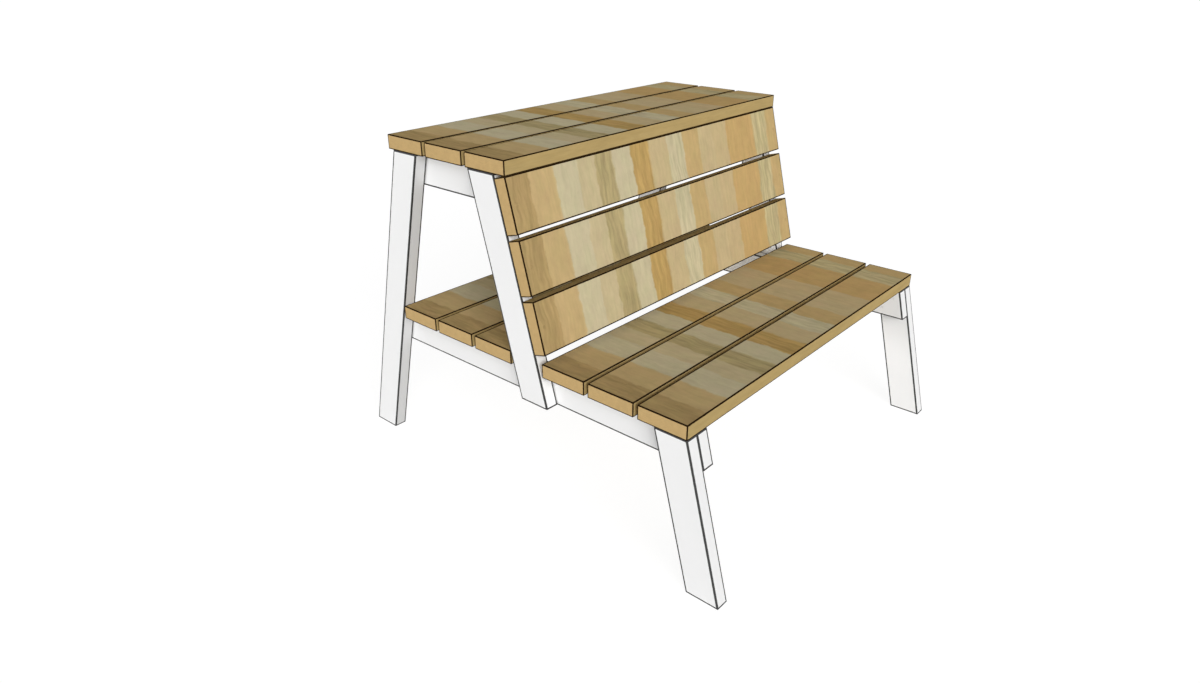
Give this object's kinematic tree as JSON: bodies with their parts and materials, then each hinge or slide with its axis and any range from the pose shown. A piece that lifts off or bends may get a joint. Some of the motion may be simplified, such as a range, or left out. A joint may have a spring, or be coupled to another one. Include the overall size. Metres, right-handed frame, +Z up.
{
  "type": "fire pit bench with table",
  "caption": "Outdoor slatted bench with a leaning back rest, a bar-height table behind it and a shelf under the table, on two splayed painted end frames.",
  "frame": {"origin": "on the ground at the centre of the footprint, which is also the bottom centre of the overall box", "axes": "+Z up; the bench faces -Y and the table stands behind it towards +Y; +X runs along the boards, to the right as seen from in front"},
  "size_m": [1.2128, 1.3284, 0.949],
  "materials": {
    "stained_wood": "clear-sealed softwood in blended tan, cream and amber strips, satin",
    "white_paint": "white exterior paint over planed softwood, satin",
    "screw_coating": "tan ceramic-coated steel",
    "painted_screws": "coated steel whose head is painted over with the frame"
  },
  "bodies": {
    "root": {"apron_left": "white_paint", "apron_right": "white_paint", "back_board_lower": "stained_wood", "back_board_lower_screw_left": "screw_coating", "back_board_lower_screw_right": "screw_coating", "back_board_middle": "stained_wood", "back_board_middle_screw_left": "screw_coating", "back_board_middle_screw_right": "screw_coating", "back_board_upper": "stained_wood", "back_board_upper_screw_left": "screw_coating", "back_board_upper_screw_right": "screw_coating", "back_post_apron_screw_left": "painted_screws", "back_post_apron_screw_right": "painted_screws", "back_post_left": "white_paint", "back_post_rail_screw_left": "painted_screws", "back_post_rail_screw_right": "painted_screws", "back_post_right": "white_paint", "rail_left": "white_paint", "rail_right": "white_paint", "seat_board_front": "stained_wood", "seat_board_front_screw_left": "screw_coating", "seat_board_front_screw_right": "screw_coating", "seat_board_middle": "stained_wood", "seat_board_middle_screw_left": "screw_coating", "seat_board_middle_screw_right": "screw_coating", "seat_board_rear": "stained_wood", "seat_board_rear_screw_left": "screw_coating", "seat_board_rear_screw_right": "screw_coating", "seat_leg_left": "white_paint", "seat_leg_lower_screw_left": "painted_screws", "seat_leg_lower_screw_right": "painted_screws", "seat_leg_right": "white_paint", "seat_leg_upper_screw_left": "painted_screws", "seat_leg_upper_screw_right": "painted_screws", "shelf_board_front": "stained_wood", "shelf_board_front_screw_left": "screw_coating", "shelf_board_front_screw_right": "screw_coating", "shelf_board_middle": "stained_wood", "shelf_board_middle_screw_left": "screw_coating", "shelf_board_middle_screw_right": "screw_coating", "shelf_board_rear": "stained_wood", "shelf_board_rear_screw_left": "screw_coating", "shelf_board_rear_screw_right": "screw_coating", "table_board_front": "stained_wood", "table_board_front_screw_left": "screw_coating", "table_board_front_screw_right": "screw_coating", "table_board_middle": "stained_wood", "table_board_middle_screw_left": "screw_coating", "table_board_middle_screw_right": "screw_coating", "table_board_rear": "stained_wood", "table_board_rear_screw_left": "screw_coating", "table_board_rear_screw_right": "screw_coating", "table_leg_apron_screw_left": "painted_screws", "table_leg_apron_screw_right": "painted_screws", "table_leg_left": "white_paint", "table_leg_lower_screw_left": "painted_screws", "table_leg_lower_screw_right": "painted_screws", "table_leg_right": "white_paint", "table_leg_upper_screw_left": "painted_screws", "table_leg_upper_screw_right": "painted_screws"}
  },
  "joints": []
}
